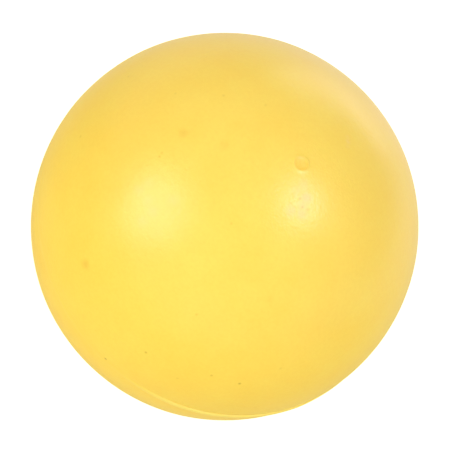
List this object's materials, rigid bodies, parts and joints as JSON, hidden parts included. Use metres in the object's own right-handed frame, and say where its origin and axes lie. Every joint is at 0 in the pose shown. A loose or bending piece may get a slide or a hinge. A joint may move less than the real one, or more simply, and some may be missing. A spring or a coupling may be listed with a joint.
{
  "type": "rubber ball",
  "caption": "Hollow inflated rubber play ball: moulded half shells bonded on a raised seam, with a flush self-sealing inflation plug at the pole and a patch behind it.",
  "frame": {"origin": "centre of the ball, in the plane of the seam", "axes": "+Z along the inflation plug's axis, out of the plug's face; the seam lies in the XY plane"},
  "size_m": [0.0706, 0.0706, 0.07],
  "materials": {
    "shell_rubber": "moulded yellow natural rubber, satin, faintly translucent, with a fine pitted skin",
    "seam_gum": "yellow bonding gum, cured flush with the mould, satin",
    "plug_rubber": "soft yellow plug rubber, slightly more orange than the shell",
    "patch_rubber": "matt gum rubber patch, hidden inside"
  },
  "bodies": {
    "root": {"valve_half_shell": "shell_rubber", "plain_half_shell": "shell_rubber", "seam_strip": "seam_gum", "valve_plug": "plug_rubber", "valve_patch": "patch_rubber"}
  },
  "joints": []
}
